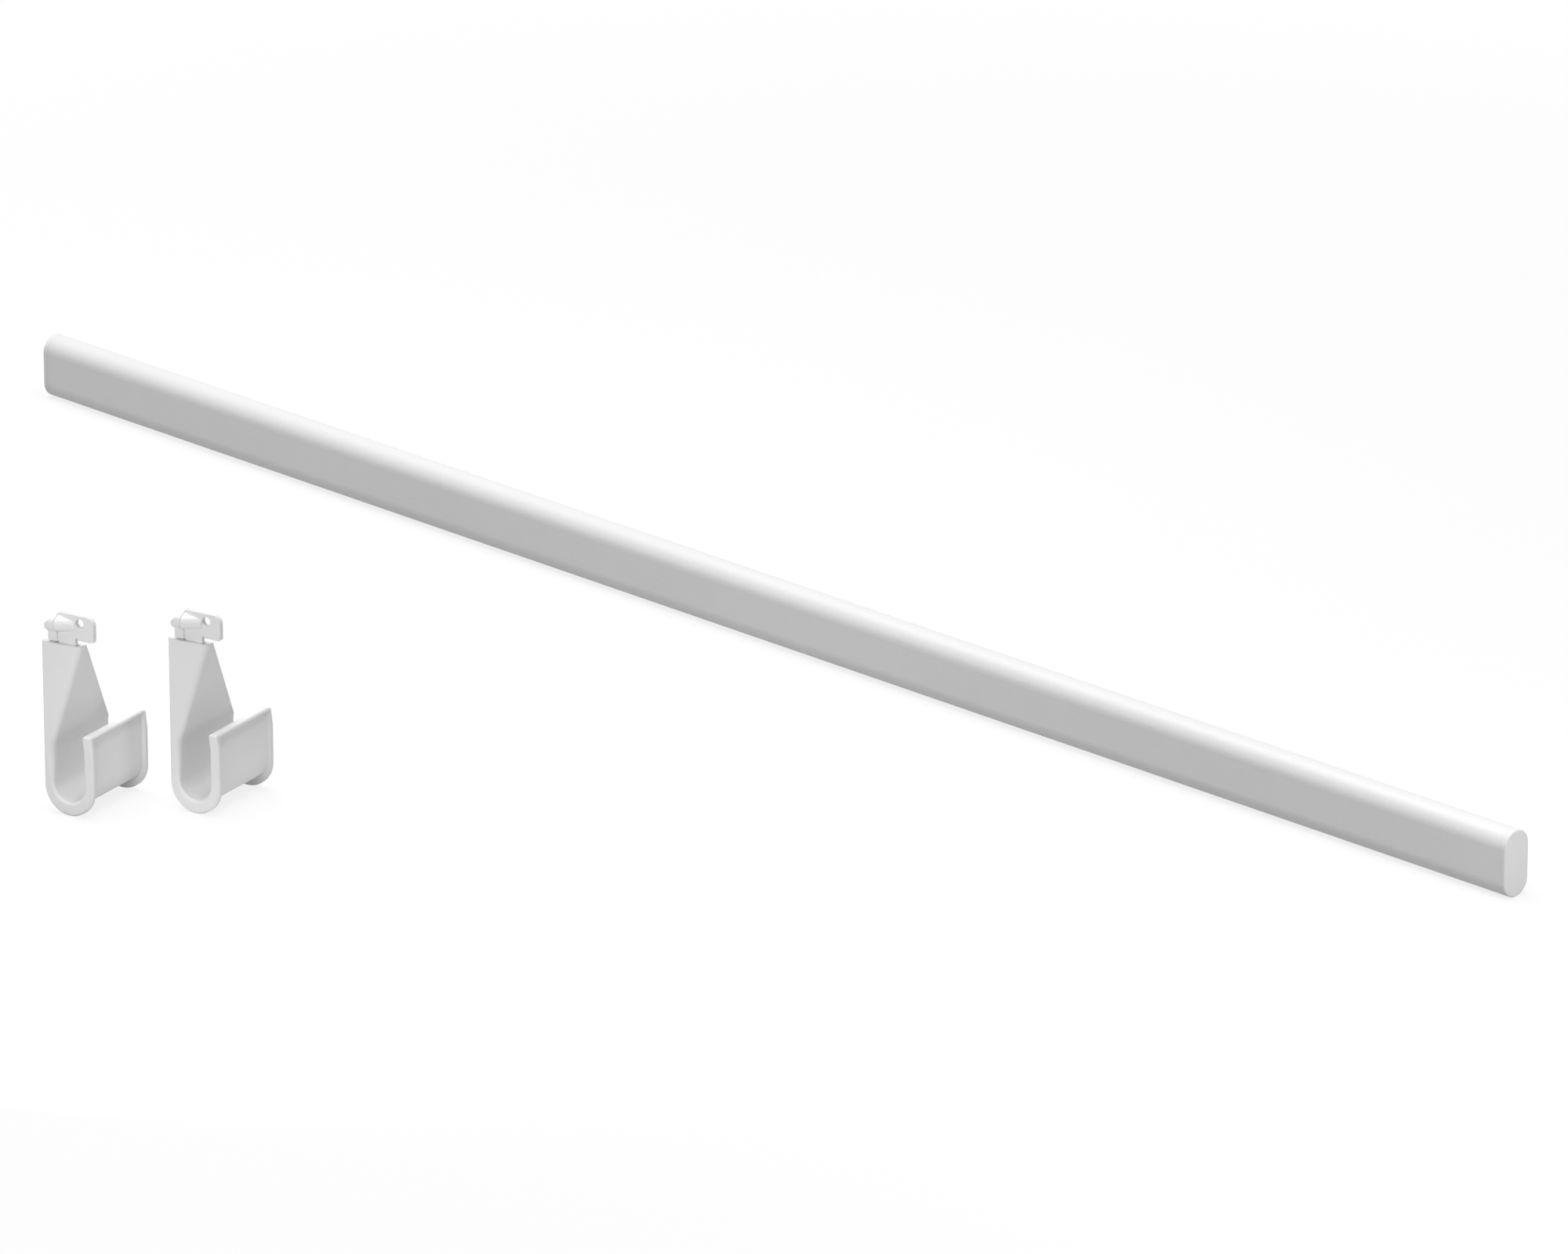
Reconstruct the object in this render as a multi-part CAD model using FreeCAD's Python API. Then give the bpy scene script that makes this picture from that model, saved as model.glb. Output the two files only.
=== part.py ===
import FreeCAD, Part
import math
import os

# Closet rod kit, millimetres. X runs along the rod, Z is up, and the rod and both holders
# stand on the plane Z = 0. The origin is under the middle of the rod.

# Rod tube: an oval with flat sides and half-round top and bottom
TUBE_LENGTH = 914.0
TUBE_HEIGHT = 30.0
TUBE_WIDTH = 15.0
TUBE_WALL = 1.0

# End caps: a flange flush with the tube, and a hollow plug with crush ribs inside it
CAP_FLANGE = 3.0
CAP_EDGE = 0.4
PLUG_LENGTH = 18.0
PLUG_WALL = 1.6
PLUG_LEAD = 0.5
PLUG_GAP = 0.6
RIB_START = 2.0
RIB_WIDTH = 1.2
RIB_SPACING = 7.0
RIB_CLEARANCE = 0.1

# Rod holder: the trough that the rod lies in
SEAT_CLEARANCE = 0.4
TROUGH_LENGTH = 43.0
TROUGH_WALL = 2.4
RIM_THICKNESS = 2.3
RIM_HEIGHT = 4.6
RIM_DROP = 1.4
RIM_EDGE = 0.8
RIM_ROUND = 1.4
LIP_RISE = 1.8
LIP_KINK = 1.0
LIP_KINK_HEIGHT = 8.0
LIP_KINK_RADIUS = 10.0
LIP_BAND = 1.6
LIP_CORNER = 3.4
LIP_INSIDE_ROUND = 1.8
LIP_OUTSIDE_ROUND = 1.0

# Rod holder: the side web and the leaning back wall above the trough
HOLDER_HEIGHT = 77.9
WEB_THICKNESS = 2.4
WALL_THICKNESS = 2.4
WALL_REACH = 7.5
WALL_TIP = 5.0
LEAN_RISE = 1.5
LEAN_RADIUS = 20.0
CREASE_RADIUS = 3.0
BACK_LEG_FADE = 6.0

# Hook clip: bent sheet, its tang in a slot in the top of the web
CLIP_THICKNESS = 2.0
CLIP_CLEARANCE = 0.2
TANG_DEPTH = 8.0
TANG_HALF = 5.6
TANG_SINK = 1.6
SLOT_FLOOR = 1.5
SLOT_WALL = 1.4
NECK_HALF = 4.2
NECK_RISE = 2.7
HEAD_HEIGHT = 11.0
BEND_DROP = 4.7
BEND_DEPTH = 4.2
BEND_FADE = 0.4
BEND_CREST = 3.8
BEND_ROUND = 2.2
BEND_FOLD = 2.0
BEND_FLAT = 0.8
EAR_LENGTH = 5.1
EAR_DROP = 1.9
EAR_SETBACK = 0.6
EAR_FOOT = 1.3
SEAM_WIDTH = 0.5
SEAM_DEPTH = 0.7
TAB_LENGTH = 9.5
TAB_TOP_ROUND = 3.5
TAB_CORNER_ROUND = 1.3
RELIEF_RADIUS = 0.8
TAB_HOLE_RADIUS = 2.0
TAB_HOLE_OFFSET = 2.4
TAB_HOLE_DROP = 3.2

# Where the left holder stands in front of the rod, the step to the right one, and how far both are turned
HOLDER_X = -41.0
HOLDER_Y = -366.0
HOLDER_STEP_X = 36.0
HOLDER_STEP_Y = 40.0
HOLDER_YAW = 103.7

# How far cuts run past what they cut, and how near an edge has to be to a plane to lie on it
CUT_MARGIN = 5.0
ON_PLANE = 0.001

# Sizes that follow from the ones above
HALF_INNER = TUBE_WIDTH / 2 + SEAT_CLEARANCE
HALF_OUTER = HALF_INNER + RIM_HEIGHT
SEAT_Z = RIM_HEIGHT + RIM_DROP
LIP_TOP = SEAT_Z + TUBE_HEIGHT + LIP_RISE
LEAN_Z = SEAT_Z + TUBE_HEIGHT - TUBE_WIDTH / 2 + LEAN_RISE
KINK_Z = LIP_TOP - LIP_KINK_HEIGHT
CLIP_X = WALL_TIP / 2
HEAD_Z = HOLDER_HEIGHT + NECK_RISE
HEAD_TOP = HEAD_Z + HEAD_HEIGHT
CREST_Z = HEAD_TOP - BEND_DROP


def rounded_edges(points, radii, closed):
    """Straight and arc edges through the points, each corner rounded to its radius."""
    count = len(points)
    starts = []
    ends = []
    arcs = []
    for i, (point, radius) in enumerate(zip(points, radii)):
        inner = closed or 0 < i < count - 1
        if not inner or radius <= 0:
            starts.append(point)
            ends.append(point)
            arcs.append(None)
            continue
        to_last = (points[i - 1] - point).normalize()
        to_next = (points[(i + 1) % count] - point).normalize()
        half_angle = to_last.getAngle(to_next) / 2
        setback = radius / math.tan(half_angle)
        middle_way = (to_last + to_next).normalize()
        middle = point + middle_way * (radius / math.sin(half_angle) - radius)
        starts.append(point + to_last * setback)
        ends.append(point + to_next * setback)
        arcs.append(Part.Arc(starts[i], middle, ends[i]).toShape())
    edges = []
    for i in range(count):
        if arcs[i]:
            edges.append(arcs[i])
        is_last = i == count - 1
        if is_last and not closed:
            break
        following = starts[(i + 1) % count]
        if ends[i].distanceToPoint(following) > ON_PLANE:
            edges.append(Part.LineSegment(ends[i], following).toShape())
    return edges


def rounded_face(points, radii):
    return Part.Face(Part.Wire(rounded_edges(points, radii, True)))


def flat_face(corners):
    return Part.Face(Part.makePolygon(corners + corners[:1]))


def across(y, z):
    """A point of a profile that is drawn across the trough."""
    return FreeCAD.Vector(0, y, z)


def along_x(face, start, end):
    solid = face.extrude(FreeCAD.Vector(end - start, 0, 0))
    solid.translate(FreeCAD.Vector(start, 0, 0))
    return solid


def oval_face(height, width):
    """An oval standing on edge, centred on the X axis."""
    radius = width / 2
    corners = [across(s * radius, t * height / 2) for s, t in ((1, 1), (-1, 1), (-1, -1), (1, -1))]
    return rounded_face(corners, [radius] * 4)


def rod_tube():
    outer = along_x(oval_face(TUBE_HEIGHT, TUBE_WIDTH), -TUBE_LENGTH / 2, TUBE_LENGTH / 2)
    bore = oval_face(TUBE_HEIGHT - 2 * TUBE_WALL, TUBE_WIDTH - 2 * TUBE_WALL)
    hollow = along_x(bore, -TUBE_LENGTH / 2 - CUT_MARGIN, TUBE_LENGTH / 2 + CUT_MARGIN)
    tube = outer.cut(hollow)
    tube.translate(FreeCAD.Vector(0, 0, TUBE_HEIGHT / 2))
    return tube


def crush_ribs():
    """Small ribs on the flat sides of the plug that take up its gap in the tube."""
    reach = TUBE_WIDTH / 2 - TUBE_WALL - RIB_CLEARANCE
    ribs = []
    for side in (1, -1):
        for z in (-RIB_SPACING / 2, RIB_SPACING / 2):
            rib = Part.makeBox(PLUG_LENGTH - RIB_START, reach, RIB_WIDTH)
            corner = FreeCAD.Vector(RIB_START - PLUG_LENGTH, min(0, side * reach), z - RIB_WIDTH / 2)
            rib.translate(corner)
            ribs.append(rib)
    return ribs


def end_cap():
    """Cap for the +X end: the flange starts at x = 0 and the plug runs back into the tube."""
    flange = along_x(oval_face(TUBE_HEIGHT, TUBE_WIDTH), 0, CAP_FLANGE)
    rim = [e for e in flange.Edges if e.BoundBox.XMin > CAP_FLANGE - ON_PLANE]
    flange = flange.makeChamfer(CAP_EDGE, rim)
    plug_height = TUBE_HEIGHT - 2 * TUBE_WALL - 2 * PLUG_GAP
    plug_width = TUBE_WIDTH - 2 * TUBE_WALL - 2 * PLUG_GAP
    plug = along_x(oval_face(plug_height, plug_width), -PLUG_LENGTH, 0)
    tip = [e for e in plug.Edges if e.BoundBox.XMax < ON_PLANE - PLUG_LENGTH]
    plug = plug.makeChamfer(PLUG_LEAD, tip)
    hollow = oval_face(plug_height - 2 * PLUG_WALL, plug_width - 2 * PLUG_WALL)
    plug = plug.fuse(crush_ribs()).cut(along_x(hollow, -PLUG_LENGTH - CUT_MARGIN, 0))
    cap = flange.fuse(plug).removeSplitter()
    cap.translate(FreeCAD.Vector(TUBE_LENGTH / 2, 0, TUBE_HEIGHT / 2))
    return cap


def rod_side_path():
    """The side of the holder that faces the rod, from the top of the back wall round to the lip."""
    points = [across(-WALL_REACH, HOLDER_HEIGHT), across(HALF_INNER, LEAN_Z), across(HALF_INNER, SEAT_Z)]
    points += [across(-HALF_INNER, SEAT_Z), across(-HALF_INNER, KINK_Z)]
    points += [across(LIP_KINK - HALF_INNER, LIP_TOP)]
    radii = [0, LEAN_RADIUS, HALF_INNER, HALF_INNER, LIP_KINK_RADIUS, 0]
    return points, radii


def outer_leg():
    """The rim's outer side: up the lip, and round under the trough to the back."""
    points = [across(HALF_OUTER, 0), across(-HALF_OUTER, 0), across(-HALF_OUTER, KINK_Z)]
    points += [across(LIP_KINK - HALF_OUTER, LIP_TOP)]
    radii = [HALF_OUTER, HALF_OUTER, LIP_KINK_RADIUS + RIM_HEIGHT, LIP_OUTSIDE_ROUND]
    return points, radii


def rim_face(leans):
    """A rim's outline, one J: with the web above it where it leans, or with a short back leg."""
    points, radii = outer_leg()
    inner_points, inner_radii = rod_side_path()
    inner_radii[-1] = LIP_INSIDE_ROUND
    if leans:
        top = [across(HALF_OUTER, HOLDER_HEIGHT)]
    else:
        inner_points[:2] = [across(HALF_INNER, LEAN_Z)]
        inner_radii[:2] = [0]
        top = [across(HALF_OUTER, LEAN_Z - BACK_LEG_FADE)]
    outline = top + points + inner_points[::-1]
    outline_radii = [0] + radii + inner_radii[::-1]
    return rounded_face(outline, outline_radii)


def parallel(points, distance):
    """The polyline shifted sideways, away from the rod, with its ends kept at their heights."""
    lines = []
    for first, second in zip(points, points[1:]):
        way = (second - first).normalize()
        shift = FreeCAD.Vector(0, -way.z, way.y) * distance
        lines.append((first + shift, way))
    shifted = []
    for (start, way), (next_start, next_way) in zip(lines, lines[1:]):
        gap = next_start - start
        turn = way.y * next_way.z - way.z * next_way.y
        reach = (gap.y * next_way.z - gap.z * next_way.y) / turn
        shifted.append(start + way * reach)
    first_start, first_way = lines[0]
    last_start, last_way = lines[-1]
    head = first_start + first_way * ((points[0].z - first_start.z) / first_way.z)
    tail = last_start + last_way * ((points[-1].z - last_start.z) / last_way.z)
    return [head] + shifted + [tail]


def parallel_radii(points, radii, distance):
    """Corner radii of the shifted polyline: wider round the outside of a turn, tighter inside it."""
    shifted = list(radii)
    for i in range(1, len(points) - 1):
        way = points[i] - points[i - 1]
        next_way = points[i + 1] - points[i]
        turns_away = way.y * next_way.z - way.z * next_way.y < 0
        if radii[i] > 0:
            shifted[i] = radii[i] + distance if turns_away else radii[i] - distance
    return shifted


def sheet_wire(points, radii, thickness):
    """The outline of a wall of even thickness along a path."""
    back = parallel(points, thickness)
    back_radii = parallel_radii(points, radii, thickness)
    edges = rounded_edges(points, radii, False)
    edges.append(Part.LineSegment(points[-1], back[-1]).toShape())
    edges += rounded_edges(back[::-1], back_radii[::-1], False)
    edges.append(Part.LineSegment(back[0], points[0]).toShape())
    return Part.Wire(Part.sortEdges(edges)[0])


def between_rims(face):
    """Drawn out from inside the near plate to inside the far rim."""
    return along_x(face, WEB_THICKNESS / 2, TROUGH_LENGTH - RIM_THICKNESS / 2)


def sheet(points, radii, thickness):
    """A wall of even thickness along a path, as long as the trough."""
    return between_rims(Part.Face(sheet_wire(points, radii, thickness)))


def trough():
    """The thin wall under the rod, its lip rounded like the rims' lips."""
    points, radii = rod_side_path()
    points[:2] = [across(HALF_INNER, SEAT_Z + HALF_INNER)]
    radii[:2] = [0]
    return sheet(points, radii, TROUGH_WALL).common(between_rims(rim_face(False)))


def back_wall():
    """The leaning wall, cut to a slanted free edge that runs from the far rim up to the web."""
    points, radii = rod_side_path()
    points[2:] = [across(HALF_INNER, SEAT_Z + HALF_INNER)]
    radii[2:] = [0]
    wall = sheet(points, radii, WALL_THICKNESS)
    over = HOLDER_HEIGHT + CUT_MARGIN
    slope = (TROUGH_LENGTH - WALL_TIP) / (HOLDER_HEIGHT - LEAN_Z)
    outline = [(TROUGH_LENGTH, LEAN_Z), (WALL_TIP - slope * CUT_MARGIN, over)]
    outline += [(TROUGH_LENGTH + CUT_MARGIN, over), (TROUGH_LENGTH + CUT_MARGIN, LEAN_Z)]
    corners = [FreeCAD.Vector(x, -WALL_REACH - CUT_MARGIN, z) for x, z in outline]
    waste = flat_face(corners)
    return wall.cut(waste.extrude(FreeCAD.Vector(0, WALL_REACH + HALF_OUTER + 2 * CUT_MARGIN, 0)))


def lip_band():
    """The thick band along the top edge of the lip, between the rims."""
    top = Part.makeBox(TROUGH_LENGTH, HALF_OUTER, LIP_BAND)
    top.translate(FreeCAD.Vector(0, -HALF_OUTER, LIP_TOP - LIP_BAND))
    return top.common(between_rims(rim_face(False)))


def lip_corner_waste():
    """What is cut away to round the lip's far top corner."""
    square = Part.makeBox(LIP_CORNER + CUT_MARGIN, 2 * HALF_OUTER, LIP_CORNER + CUT_MARGIN)
    square.translate(FreeCAD.Vector(TROUGH_LENGTH - LIP_CORNER, -2 * HALF_OUTER, LIP_TOP - LIP_CORNER))
    foot = FreeCAD.Vector(TROUGH_LENGTH - LIP_CORNER, -2 * HALF_OUTER, LIP_TOP - LIP_CORNER)
    return square.cut(Part.makeCylinder(LIP_CORNER, 2 * HALF_OUTER, foot, FreeCAD.Vector(0, 1, 0)))


def wall_front_y(z):
    """How far back the front of the leaning wall is at a height."""
    share = (z - LEAN_Z) / (HOLDER_HEIGHT - LEAN_Z)
    return HALF_INNER - share * (HALF_INNER + WALL_REACH)


def tang_face(half, low, high, wall_gap):
    """The tang's outline: upright on the back side, along the leaning wall on the other."""
    corners = [across(half, low), across(half, high)]
    corners += [across(wall_front_y(z) + WALL_THICKNESS + wall_gap, z) for z in (high, low)]
    return flat_face(corners)


def clip_socket():
    """The block behind the top of the web that takes the clip's tang."""
    low = HOLDER_HEIGHT - TANG_DEPTH - SLOT_FLOOR
    outline = tang_face(TANG_HALF + SLOT_WALL, low, HOLDER_HEIGHT, -WALL_THICKNESS / 2)
    return along_x(outline, WEB_THICKNESS / 2, WALL_TIP)


def clip_slot():
    half_gap = CLIP_THICKNESS / 2 + CLIP_CLEARANCE
    face = tang_face(TANG_HALF + CLIP_CLEARANCE, HOLDER_HEIGHT - TANG_DEPTH, HOLDER_HEIGHT + CUT_MARGIN, 0)
    return along_x(face, CLIP_X - half_gap, CLIP_X + half_gap)


def corner_section(point, inward, radius):
    """A square corner of the near plate's front edge outside a round of this radius."""
    sideways = FreeCAD.Vector(radius, 0, 0)
    inside = inward * radius
    middle = point + (sideways + inside) * (1 - math.sqrt(0.5))
    arc = Part.Arc(point + sideways, middle, point + inside)
    sides = [Part.LineSegment(point, point + sideways), Part.LineSegment(point + inside, point)]
    return Part.Wire([sides[0].toShape(), arc.toShape(), sides[1].toShape()])


def corner_waste(edge, radius, end_radius):
    """What is cut away to round the front edge along one line or arc of the path."""
    start = edge.valueAt(edge.FirstParameter)
    end = edge.valueAt(edge.LastParameter)
    way = edge.tangentAt(edge.FirstParameter)
    inward = across(-way.z, way.y)
    section = corner_section(start, inward, radius)
    if isinstance(edge.Curve, Part.Circle):
        angle = edge.LastParameter - edge.FirstParameter
        return Part.Face(section).revolve(edge.Curve.Center, edge.Curve.Axis, math.degrees(angle))
    if radius == end_radius:
        return Part.Face(section).extrude(end - start)
    return Part.makeLoft([section, corner_section(end, inward, end_radius)], True, True)


def front_rounding():
    """Rounds the near plate's edge towards the rod: widely down the crease, less round the trough."""
    points, radii = rod_side_path()
    for end, neighbour in ((0, 1), (-1, -2)):
        points[end] += (points[end] - points[neighbour]).normalize() * CUT_MARGIN
    crease, bend, back, *rest = rounded_edges(points, radii, False)
    waste = [corner_waste(edge, CREASE_RADIUS, CREASE_RADIUS) for edge in (crease, bend)]
    waste.append(corner_waste(back, CREASE_RADIUS, RIM_ROUND))
    return waste + [corner_waste(edge, RIM_ROUND, RIM_ROUND) for edge in rest]


def bevelled(plate, x):
    """Breaks the edges of the plate's face at x, all but the straight one at its top."""
    top = plate.BoundBox.ZMax - ON_PLANE
    on_face = [e for e in plate.Edges if max(abs(v.X - x) for v in e.Vertexes) < ON_PLANE]
    return plate.makeChamfer(RIM_EDGE, [e for e in on_face if e.BoundBox.ZMin < top])


def rod_holder():
    near_plate = bevelled(along_x(rim_face(True), 0, WEB_THICKNESS), 0)
    far_rim = along_x(rim_face(False), TROUGH_LENGTH - RIM_THICKNESS, TROUGH_LENGTH)
    far_rim = bevelled(far_rim, TROUGH_LENGTH)
    body = near_plate.fuse([far_rim, trough(), back_wall(), lip_band(), clip_socket()]).removeSplitter()
    return body.cut(front_rounding() + [lip_corner_waste(), clip_slot()])


def across_web(wire_or_solid):
    """Turns what is drawn across the trough so that it is seen edge-on from the side of the web."""
    turned = wire_or_solid.copy()
    turned.rotate(FreeCAD.Vector(0, 0, 0), FreeCAD.Vector(0, 0, 1), 90)
    turned.translate(FreeCAD.Vector(CLIP_X, 0, 0))
    return turned


def bend_path(foot, low):
    """The front of the clip's bend: up from its foot, out to a rounded crest, back to a straight top."""
    face = CLIP_THICKNESS / 2
    points = [across(face + foot, low), across(face + foot, HEAD_Z + BEND_FOLD)]
    points += [across(face + BEND_DEPTH, CREST_Z + s * BEND_CREST / 2) for s in (-1, 1)]
    points += [across(face, HEAD_TOP - BEND_FLAT), across(face, HEAD_TOP)]
    return points, [0, 0, BEND_ROUND, BEND_ROUND, 0, 0]


def behind_bend(points, radii):
    """All that lies behind a path across the head, from the ear on sinking evenly towards the tab."""
    far_back = -BEND_DEPTH - CLIP_THICKNESS
    corners = [across(far_back, points[-1].z), across(far_back, points[0].z)]
    face = rounded_face(points + corners, radii + [0, 0])
    face.translate(FreeCAD.Vector(NECK_HALF, 0, 0))
    return face.extrude(FreeCAD.Vector(-2 * NECK_HALF, BEND_FADE - BEND_DEPTH, 0))


def clip_bend():
    """The neck and the middle of the head: a louvre, deepest beside the ear, almost flat beside the tab."""
    points, radii = bend_path(0, HOLDER_HEIGHT)
    hollow = parallel(points, CLIP_THICKNESS)
    hollow_radii = parallel_radii(points, radii, CLIP_THICKNESS)
    reach = 2 * BEND_DEPTH + CUT_MARGIN
    plate = Part.makeBox(2 * NECK_HALF, CLIP_THICKNESS, HEAD_TOP - HOLDER_HEIGHT)
    plate.translate(FreeCAD.Vector(-NECK_HALF, -CLIP_THICKNESS / 2, HOLDER_HEIGHT))
    back = Part.makeBox(2 * NECK_HALF, reach, HEAD_TOP - HOLDER_HEIGHT)
    back.translate(FreeCAD.Vector(-NECK_HALF, -CLIP_THICKNESS / 2 - reach, HOLDER_HEIGHT))
    bend = plate.fuse(behind_bend(points, radii)).cut([behind_bend(hollow, hollow_radii), back])
    return across_web(bend.removeSplitter())


def clip_ear():
    """The bent ear beyond a seam at the back end of the head, its upper corner cut off at a slant."""
    points, radii = bend_path(EAR_FOOT, HEAD_Z - EAR_DROP)
    ear = Part.Face(sheet_wire(points, radii, CLIP_THICKNESS)).extrude(FreeCAD.Vector(EAR_LENGTH, 0, 0))
    skin = Part.Face(sheet_wire(points, radii, SEAM_DEPTH)).extrude(FreeCAD.Vector(SEAM_WIDTH, 0, 0))
    ear = ear.cut(skin)
    ear.translate(FreeCAD.Vector(NECK_HALF, -EAR_SETBACK, 0))
    tip = NECK_HALF + EAR_LENGTH
    over = HEAD_TOP + CUT_MARGIN
    slope = EAR_LENGTH / BEND_DROP
    corners = [across(tip, CREST_Z), across(NECK_HALF - slope * CUT_MARGIN, over)]
    corners += [across(tip + CUT_MARGIN, over), across(tip + CUT_MARGIN, CREST_Z)]
    reach = BEND_DEPTH + CLIP_THICKNESS + CUT_MARGIN
    return across_web(ear).cut(along_x(flat_face(corners), CLIP_X - reach, CLIP_X + reach))


def clip_sheet(face):
    """A flat piece of the clip, as thick as its sheet."""
    return along_x(face, CLIP_X - CLIP_THICKNESS / 2, CLIP_X + CLIP_THICKNESS / 2)


def hole_through_clip(radius, y, z):
    foot = FreeCAD.Vector(CLIP_X - CLIP_THICKNESS, y, z)
    return Part.makeCylinder(radius, 2 * CLIP_THICKNESS, foot, FreeCAD.Vector(1, 0, 0))


def clip_tab():
    """The flat end of the head, with its hole, and a round relief where the bend begins."""
    end = -NECK_HALF - TAB_LENGTH
    points = [across(-NECK_HALF, HEAD_Z), across(end, HEAD_Z)]
    points += [across(end, HEAD_TOP), across(-NECK_HALF, HEAD_TOP)]
    tab = clip_sheet(rounded_face(points, [0, TAB_CORNER_ROUND, TAB_TOP_ROUND, 0]))
    hole = hole_through_clip(TAB_HOLE_RADIUS, -NECK_HALF - TAB_HOLE_OFFSET, HEAD_TOP - TAB_HOLE_DROP)
    relief = hole_through_clip(RELIEF_RADIUS, -NECK_HALF - RELIEF_RADIUS, HEAD_Z)
    return tab.cut(hole.fuse(relief))


def clip_stem():
    """The tang in the holder's slot and the root of the neck that rises from it."""
    root = HOLDER_HEIGHT - TANG_SINK
    tang = tang_face(TANG_HALF, HOLDER_HEIGHT - TANG_DEPTH, root, CLIP_CLEARANCE)
    corners = [across(-NECK_HALF, root), across(NECK_HALF, root)]
    corners += [across(NECK_HALF, HOLDER_HEIGHT), across(-NECK_HALF, HOLDER_HEIGHT)]
    return clip_sheet(tang).fuse(clip_sheet(flat_face(corners)))


def hook_clip():
    return clip_stem().fuse([clip_tab(), clip_bend(), clip_ear()]).removeSplitter()


def main():
    os.makedirs("parts", exist_ok=True)
    nodes = {"rod_tube": rod_tube(), "right_end_cap": end_cap()}
    nodes["left_end_cap"] = end_cap().mirror(FreeCAD.Vector(0, 0, 0), FreeCAD.Vector(1, 0, 0))
    holder = rod_holder()
    clip = hook_clip()
    turn = FreeCAD.Rotation(FreeCAD.Vector(0, 0, 1), HOLDER_YAW)
    for step, side in enumerate(("left", "right")):
        corner = FreeCAD.Vector(HOLDER_X + step * HOLDER_STEP_X, HOLDER_Y + step * HOLDER_STEP_Y, 0)
        place = FreeCAD.Placement(corner, turn).toMatrix()
        nodes[side + "_rod_holder"] = holder.transformed(place, copy=True)
        nodes[side + "_hook_clip"] = clip.transformed(place, copy=True)
    for name, shape in nodes.items():
        solid = shape.Solids[0]
        print(name, len(shape.Solids), solid.isValid(), round(solid.Volume, 1))
        solid.exportStep("parts/" + name + ".step")


main()
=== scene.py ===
import math

import bmesh
import bpy
from mathutils import Matrix, Vector

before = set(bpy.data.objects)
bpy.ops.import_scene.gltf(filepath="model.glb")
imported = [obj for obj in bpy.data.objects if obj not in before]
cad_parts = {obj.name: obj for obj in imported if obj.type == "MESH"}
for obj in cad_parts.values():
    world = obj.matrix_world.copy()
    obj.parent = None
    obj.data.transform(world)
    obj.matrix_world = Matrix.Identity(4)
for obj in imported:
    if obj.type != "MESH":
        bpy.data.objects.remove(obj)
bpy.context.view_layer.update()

# Camera: place and reach in metres, the way it looks in degrees, lens and sensor in millimetres
CAMERA_PLACE = (3.4449, -3.4298, 1.7838)
CAMERA_REACH = 100.0
CAMERA_AZIMUTH = 44.909
CAMERA_ELEVATION = 20.132
CAMERA_LENS = 266.29
CAMERA_SENSOR = 36.0

# White background: its colour, and the strength at which a light shows as plain white
WHITE = (1.0, 1.0, 1.0, 1.0)
WHITE_STRENGTH = 1.0

# Room: strength of its even light on the object
ROOM_LIGHT = 0.23

# Floor: a disc, and the distances from its middle at which it goes over into plain white, in metres
FLOOR_MIDDLE = (0.0, 0.0, 0.0)
FLOOR_RADIUS = 12.0
FLOOR_SIDES = 96
FLOOR_FADE_FROM = 0.5
FLOOR_FADE_TO = 1.1

# Floor: share of plain white in the middle and farther out, matte colour, and share of light thrown back
FLOOR_WHITE = 0.80
FLOOR_WHITE_FAR = 1.0
FLOOR_SEEN = (0.98, 0.98, 0.98, 1.0)
FLOOR_BOUNCE = 0.38

# Card: a part of the floor beside the holders' lips that throws back more light, without an edge that is seen
CARD_PLACE = (0.012, -0.315, 0.0)
CARD_BOUNCE = 0.75
CARD_FADE_FROM = 0.02
CARD_FADE_TO = 0.09

# Lamps: place, aim, width and depth in metres, power in watts
LAMPS = {
    "top_softbox": dict(place=(-0.3, -0.15, 1.9), aim=(-0.3, -0.15, 0.0), width=2.4, depth=1.6, power=38.5),
    "front_fill": dict(place=(0.09, -0.62, 0.1), aim=(-0.03, -0.35, 0.04), width=0.2, depth=0.2, power=0.38),
    "end_fill": dict(place=(0.85, -0.09, 0.2), aim=(0.46, 0.0, 0.015), width=0.25, depth=0.25, power=0.93),
    "left_fill": dict(place=(-0.5, -0.6, 0.25), aim=(-0.32, 0.0, 0.015), width=0.4, depth=0.25, power=0.22),
}

# Finishes: the two colours and the two roughnesses that each drifts between
COAT_WHITE = (0.86, 0.86, 0.865, 1.0)
COAT_SHADE = (0.835, 0.835, 0.84, 1.0)
PLASTIC_WHITE = (0.87, 0.87, 0.87, 1.0)
PLASTIC_SHADE = (0.84, 0.84, 0.842, 1.0)
COAT_ROUGHNESS = (0.34, 0.44)
PLASTIC_ROUGHNESS = (0.46, 0.58)
CLIP_ROUGHNESS = (0.36, 0.46)

# Drift: width of the patches in metres, and how much finer detail the noise has
COLOUR_PATCH = 0.06
COLOUR_DETAIL = 3.0
ROUGHNESS_PATCH = 0.009
ROUGHNESS_DETAIL = 4.0

# Bump of each finish: size of one grain and its height, and how far edges look rounded, in metres
ORANGE_PEEL = (0.0014, 0.00007)
MOULD_GRAIN = (0.0005, 0.00007)
CLIP_PEEL = (0.0011, 0.00009)
GRAIN_DETAIL = 2.0
COAT_EDGE = 0.0004
PLASTIC_EDGE = 0.0006
CLIP_EDGE = 0.0004


def add_node(tree, kind, **values):
    """A new shader node with its sockets set by name."""
    node = tree.nodes.new(kind)
    for name, value in values.items():
        node.inputs[name.replace("_", " ")].default_value = value
    return node


def noise(tree, coordinates, patch, detail):
    """Noise whose patches are about as wide as patch, in metres."""
    node = add_node(tree, "ShaderNodeTexNoise", Scale=1.0 / patch, Detail=detail)
    tree.links.new(coordinates, node.inputs["Vector"])
    return node.outputs["Fac"]


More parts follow.
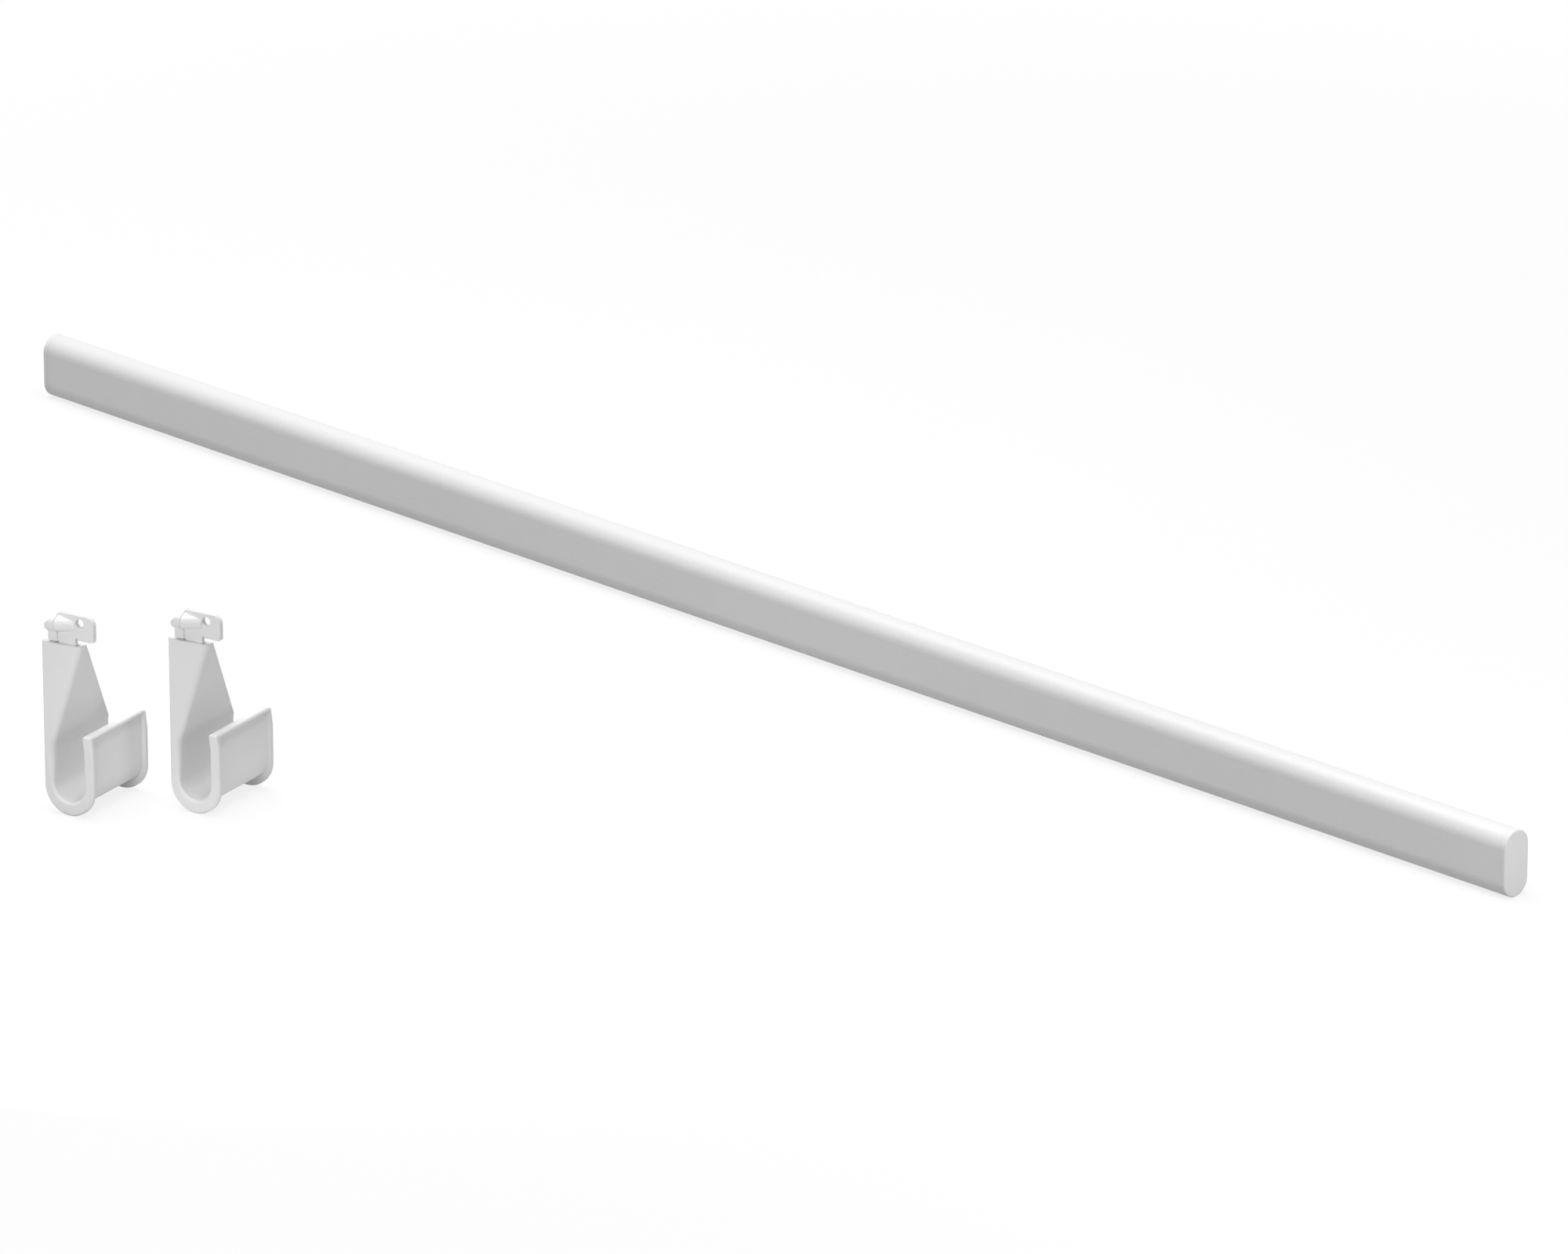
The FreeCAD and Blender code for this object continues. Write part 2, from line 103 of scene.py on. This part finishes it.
def drifting_colour(tree, coordinates, light, shade):
    """A colour that drifts between two near whites in wide patches."""
    mix = add_node(tree, "ShaderNodeMix")
    mix.data_type = "RGBA"
    mix.inputs["A"].default_value = shade
    mix.inputs["B"].default_value = light
    tree.links.new(noise(tree, coordinates, COLOUR_PATCH, COLOUR_DETAIL), mix.inputs["Factor"])
    return mix.outputs["Result"]


def drifting_roughness(tree, coordinates, smooth, rough):
    """A roughness that drifts between two values in small patches."""
    spread = add_node(tree, "ShaderNodeMapRange", To_Min=smooth, To_Max=rough)
    tree.links.new(noise(tree, coordinates, ROUGHNESS_PATCH, ROUGHNESS_DETAIL), spread.inputs["Value"])
    return spread.outputs["Result"]


def grainy_normal(tree, coordinates, grain, height, edge):
    """Normals of a fine bump, over edges that look rounded."""
    soft_edge = add_node(tree, "ShaderNodeBevel", Radius=edge)
    relief = add_node(tree, "ShaderNodeBump", Strength=1.0, Distance=height)
    tree.links.new(noise(tree, coordinates, grain, GRAIN_DETAIL), relief.inputs["Height"])
    tree.links.new(soft_edge.outputs["Normal"], relief.inputs["Normal"])
    return relief.outputs["Normal"]


def finish_material(name, light, shade, roughness, bump, edge):
    """A pale finish: colour and roughness drift over the surface, with fine bump and softened edges."""
    material = bpy.data.materials.new(name)
    material.use_nodes = True
    tree = material.node_tree
    coordinates = add_node(tree, "ShaderNodeTexCoord").outputs["Object"]
    looks = {
        "Base Color": drifting_colour(tree, coordinates, light, shade),
        "Roughness": drifting_roughness(tree, coordinates, *roughness),
        "Normal": grainy_normal(tree, coordinates, *bump, edge),
    }
    for socket, value in looks.items():
        tree.links.new(value, tree.nodes["Principled BSDF"].inputs[socket])
    return material


def dress():
    """Gives every node of the frame its finish, which goes by the ending of the node's name."""
    rod_coat = finish_material("rod_coat", COAT_WHITE, COAT_SHADE, COAT_ROUGHNESS, ORANGE_PEEL, COAT_EDGE)
    plastic = finish_material("moulded_plastic", PLASTIC_WHITE, PLASTIC_SHADE, PLASTIC_ROUGHNESS, MOULD_GRAIN,
                              PLASTIC_EDGE)
    clip_coat = finish_material("clip_coat", COAT_WHITE, COAT_SHADE, CLIP_ROUGHNESS, CLIP_PEEL, CLIP_EDGE)
    finishes = {"rod_tube": rod_coat, "hook_clip": clip_coat, "end_cap": plastic, "rod_holder": plastic}
    for name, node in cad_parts.items():
        material = next(finish for ending, finish in finishes.items() if name.endswith(ending))
        for slot in node.material_slots:
            slot.material = material


def seen_directly(tree):
    """One for what the camera, a reflection or glass sees, and zero for light that is thrown back."""
    path = add_node(tree, "ShaderNodeLightPath")
    total = path.outputs["Is Camera Ray"]
    for name in ("Is Glossy Ray", "Is Transmission Ray"):
        either = add_node(tree, "ShaderNodeMath")
        either.operation = "MAXIMUM"
        tree.links.new(total, either.inputs[0])
        tree.links.new(path.outputs[name], either.inputs[1])
        total = either.outputs[0]
    return total


def mix_shaders(tree, factor, first, second):
    """The first shader where the factor is zero, and the second where it is one."""
    mix = add_node(tree, "ShaderNodeMixShader")
    tree.links.new(factor, mix.inputs["Fac"])
    tree.links.new(first, mix.inputs[1])
    tree.links.new(second, mix.inputs[2])
    return mix.outputs["Shader"]


def fade(tree, centre, near, far, first, last):
    """A value that goes smoothly from first to last as the distance from the centre goes from near to far."""
    distance = add_node(tree, "ShaderNodeVectorMath")
    distance.operation = "DISTANCE"
    distance.inputs[1].default_value = centre
    tree.links.new(add_node(tree, "ShaderNodeTexCoord").outputs["Object"], distance.inputs[0])
    change = add_node(tree, "ShaderNodeMapRange", From_Min=near, From_Max=far, To_Min=first, To_Max=last)
    change.interpolation_type = "SMOOTHSTEP"
    tree.links.new(distance.outputs["Value"], change.inputs["Value"])
    return change.outputs["Result"]


def floor_material():
    """A pale floor that keeps a soft shadow near the middle and is plain white farther out."""
    material = bpy.data.materials.new("studio_floor")
    material.use_nodes = True
    tree = material.node_tree
    tree.nodes.remove(tree.nodes["Principled BSDF"])
    bounce = add_node(tree, "ShaderNodeBsdfDiffuse")
    grey = fade(tree, CARD_PLACE, CARD_FADE_FROM, CARD_FADE_TO, CARD_BOUNCE, FLOOR_BOUNCE)
    tree.links.new(grey, bounce.inputs["Color"])
    matte = add_node(tree, "ShaderNodeBsdfDiffuse", Color=FLOOR_SEEN)
    white = add_node(tree, "ShaderNodeEmission", Strength=WHITE_STRENGTH)
    share = fade(tree, FLOOR_MIDDLE, FLOOR_FADE_FROM, FLOOR_FADE_TO, FLOOR_WHITE, FLOOR_WHITE_FAR)
    shown = mix_shaders(tree, share, matte.outputs["BSDF"], white.outputs["Emission"])
    surface = mix_shaders(tree, seen_directly(tree), bounce.outputs["BSDF"], shown)
    tree.links.new(surface, tree.nodes["Material Output"].inputs["Surface"])
    return material


def studio_floor():
    """A flat disc that the object stands on."""
    mesh = bpy.data.meshes.new("studio_floor")
    disc = bmesh.new()
    bmesh.ops.create_circle(disc, cap_ends=True, segments=FLOOR_SIDES, radius=FLOOR_RADIUS)
    disc.to_mesh(mesh)
    disc.free()
    mesh.materials.append(floor_material())
    floor = bpy.data.objects.new("studio_floor", mesh)
    bpy.context.scene.collection.objects.link(floor)


def room():
    """Even light from all round, seen as plain white."""
    world = bpy.data.worlds.new("room")
    world.use_nodes = True
    tree = world.node_tree
    lit = tree.nodes["Background"]
    lit.inputs["Color"].default_value = WHITE
    lit.inputs["Strength"].default_value = ROOM_LIGHT
    white = add_node(tree, "ShaderNodeBackground", Color=WHITE, Strength=WHITE_STRENGTH)
    both = mix_shaders(tree, seen_directly(tree), lit.outputs["Background"], white.outputs["Background"])
    tree.links.new(both, tree.nodes["World Output"].inputs["Surface"])
    bpy.context.scene.world = world


def add_lamp(name, place, aim, width, depth, power):
    """A soft lamp that lights the object and isn't seen by the camera."""
    light = bpy.data.lights.new(name, "AREA")
    light.shape = "RECTANGLE"
    light.size = width
    light.size_y = depth
    light.energy = power
    lamp = bpy.data.objects.new(name, light)
    lamp.location = place
    lamp.rotation_euler = (Vector(aim) - Vector(place)).to_track_quat("-Z", "Y").to_euler()
    lamp.visible_camera = False
    bpy.context.scene.collection.objects.link(lamp)


def camera():
    """The photograph's camera, turned by its azimuth and elevation and not rolled."""
    azimuth = math.radians(CAMERA_AZIMUTH)
    elevation = math.radians(CAMERA_ELEVATION)
    level = math.cos(elevation)
    back = Vector((math.sin(azimuth) * level, -math.cos(azimuth) * level, math.sin(elevation)))
    right = Vector((math.cos(azimuth), math.sin(azimuth), 0.0))
    turn = Matrix((right, back.cross(right), back)).transposed().to_4x4()
    data = bpy.data.cameras.new("camera")
    data.lens = CAMERA_LENS
    data.sensor_width = CAMERA_SENSOR
    data.sensor_fit = "HORIZONTAL"
    data.clip_end = CAMERA_REACH
    view = bpy.data.objects.new("camera", data)
    view.matrix_world = Matrix.Translation(CAMERA_PLACE) @ turn
    bpy.context.scene.collection.objects.link(view)
    bpy.context.scene.camera = view


dress()
studio_floor()
room()
for lamp_name, lamp_values in LAMPS.items():
    add_lamp(lamp_name, **lamp_values)
camera()
bpy.context.scene.view_settings.view_transform = "Standard"
